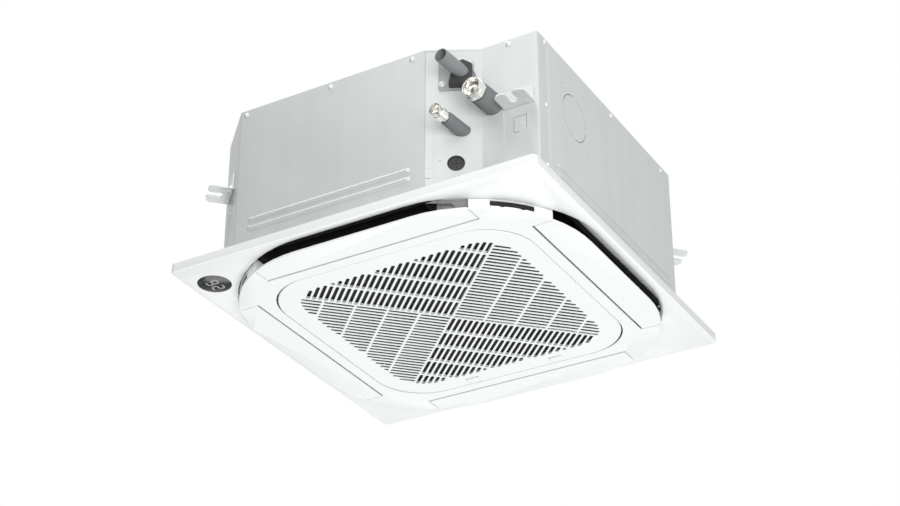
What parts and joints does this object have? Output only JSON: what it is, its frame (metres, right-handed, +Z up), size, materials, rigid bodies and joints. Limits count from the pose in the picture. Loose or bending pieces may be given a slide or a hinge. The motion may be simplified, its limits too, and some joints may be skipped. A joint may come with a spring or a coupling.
{
  "type": "ceiling cassette air conditioner",
  "caption": "Square ceiling cassette indoor unit: chamfered steel cabinet with pipe stubs and hanger ears over a white panel with pinwheel grille and hinged air flaps.",
  "frame": {"origin": "centre of the four hanger ears, on their upper faces", "axes": "+Z up into the ceiling, -Y towards the pipe stubs, X along that side"},
  "size_m": [0.62, 0.6397, 0.285],
  "materials": {
    "coated_steel": "satin",
    "white_plastic": "fine texture",
    "zinc_steel": "galvanised",
    "foam": "expanded polystyrene",
    "pipe_foam": "closed-cell foam",
    "dark_plastic": "moulded",
    "copper": "drawn copper",
    "brass": "nickel-washed",
    "aluminium": "fin stock",
    "gloss_black": "gloss",
    "grey_plastic": "moulded",
    "circuit_board": "solder mask"
  },
  "bodies": {
    "unit": {"top_plate": "coated_steel", "side_plate_front": "coated_steel", "side_plate_right": "coated_steel", "side_plate_rear": "coated_steel", "side_plate_left": "coated_steel", "pipe_plate": "coated_steel", "pipe_cover": "coated_steel", "hanger_front_left": "zinc_steel", "hanger_rear_left": "zinc_steel", "hanger_rear_right": "zinc_steel", "hanger_front_right": "zinc_steel", "foam_liner": "foam", "drain_pan": "foam", "heat_exchanger": "aluminium", "coil_end_a": "copper", "coil_end_b": "copper", "fan_motor": "dark_plastic", "bell_mouth": "white_plastic", "control_box": "coated_steel", "control_cover": "coated_steel", "control_board": "circuit_board", "terminal_block": "dark_plastic", "drain_pump": "white_plastic", "float_switch": "white_plastic", "gas_pipe": "copper", "liquid_pipe": "copper", "gas_sleeve": "pipe_foam", "liquid_sleeve": "pipe_foam", "gas_flare_nut": "brass", "liquid_flare_nut": "brass", "drain_clamp_plate": "zinc_steel", "drain_socket": "dark_plastic", "drain_pipe": "grey_plastic", "cable_bush": "pipe_foam", "panel_frame": "white_plastic", "centre_frame": "white_plastic", "flap_motor_front": "dark_plastic", "flap_motor_right": "dark_plastic", "flap_motor_rear": "dark_plastic", "flap_motor_left": "dark_plastic", "display_lens": "gloss_black", "display_board": "dark_plastic"},
    "fan": {"turbo_fan": "dark_plastic", "motor_shaft": "zinc_steel"},
    "flap_front": {"flap_front": "white_plastic"},
    "flap_right": {"flap_right": "white_plastic"},
    "flap_rear": {"flap_rear": "white_plastic"},
    "flap_left": {"flap_left": "white_plastic"},
    "door": {"intake_grille": "white_plastic", "grille_ribs": "white_plastic", "air_filter": "dark_plastic"},
    "latch_left": {"latch_left": "white_plastic"},
    "latch_right": {"latch_right": "white_plastic"},
    "float": {"drain_float": "white_plastic"}
  },
  "joints": [
    {"name": "fan_spin", "type": "hinge", "parent": "unit", "child": "fan", "pos_m": [0, 0, -0.01], "axis": [0, 0, 1], "continuous": true},
    {"name": "flap_front_tilt", "type": "hinge", "parent": "unit", "child": "flap_front", "pos_m": [0, -0.243, -0.1585], "axis": [1, 0, 0], "range_deg": [0, 45]},
    {"name": "flap_right_tilt", "type": "hinge", "parent": "unit", "child": "flap_right", "pos_m": [0.243, 0, -0.1585], "axis": [0, 1, 0], "range_deg": [0, 45]},
    {"name": "flap_rear_tilt", "type": "hinge", "parent": "unit", "child": "flap_rear", "pos_m": [0, 0.243, -0.1585], "axis": [-1, 0, 0], "range_deg": [0, 45]},
    {"name": "flap_left_tilt", "type": "hinge", "parent": "unit", "child": "flap_left", "pos_m": [-0.243, 0, -0.1585], "axis": [0, -1, 0], "range_deg": [0, 45]},
    {"name": "door_swing", "type": "hinge", "parent": "unit", "child": "door", "pos_m": [0, -0.2, -0.1622], "axis": [-1, 0, 0], "range_deg": [0, 90]},
    {"name": "latch_left_slide", "type": "slide", "parent": "door", "child": "latch_left", "axis": [0, -1, 0], "range_m": [0, 0.004], "stiffness_N_per_m": 300},
    {"name": "latch_right_slide", "type": "slide", "parent": "door", "child": "latch_right", "axis": [0, -1, 0], "range_m": [0, 0.004], "stiffness_N_per_m": 300},
    {"name": "float_rise", "type": "slide", "parent": "unit", "child": "float", "axis": [0, 0, 1], "range_m": [0, 0.01]}
  ]
}
